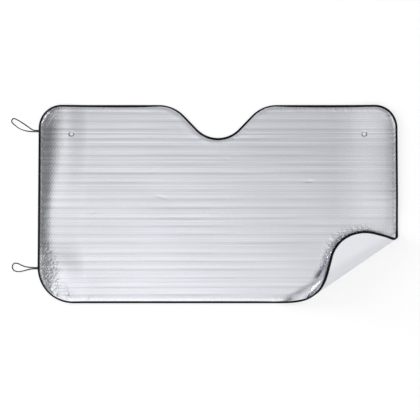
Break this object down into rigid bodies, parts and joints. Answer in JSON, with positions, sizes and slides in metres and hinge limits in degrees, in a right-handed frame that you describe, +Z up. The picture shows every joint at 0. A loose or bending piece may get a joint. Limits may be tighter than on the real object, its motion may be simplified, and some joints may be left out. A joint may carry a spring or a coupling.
{
  "type": "car sunshade",
  "caption": "Foil windscreen sunshade with a mirror notch, cloth edge binding and elastic loops, lying flat with one corner turned over.",
  "frame": {"origin": "middle of the flat sheet's outline, on the surface that it lies on", "axes": "+X along the long side, away from the elastic loops; +Y towards the edge with the mirror notch; +Z up, out of the silver face"},
  "size_m": [1.401, 0.7161, 0.0864],
  "materials": {
    "silver_foil": "satin embossed foil",
    "white_backing": "satin film",
    "edge_binding": "woven tape",
    "elastic": "flat braided elastic"
  },
  "bodies": {
    "root": {"silver_foil": "silver_foil", "white_backing": "white_backing", "edge_binding": "edge_binding", "upper_elastic_loop": "elastic", "lower_elastic_loop": "elastic"}
  },
  "joints": []
}
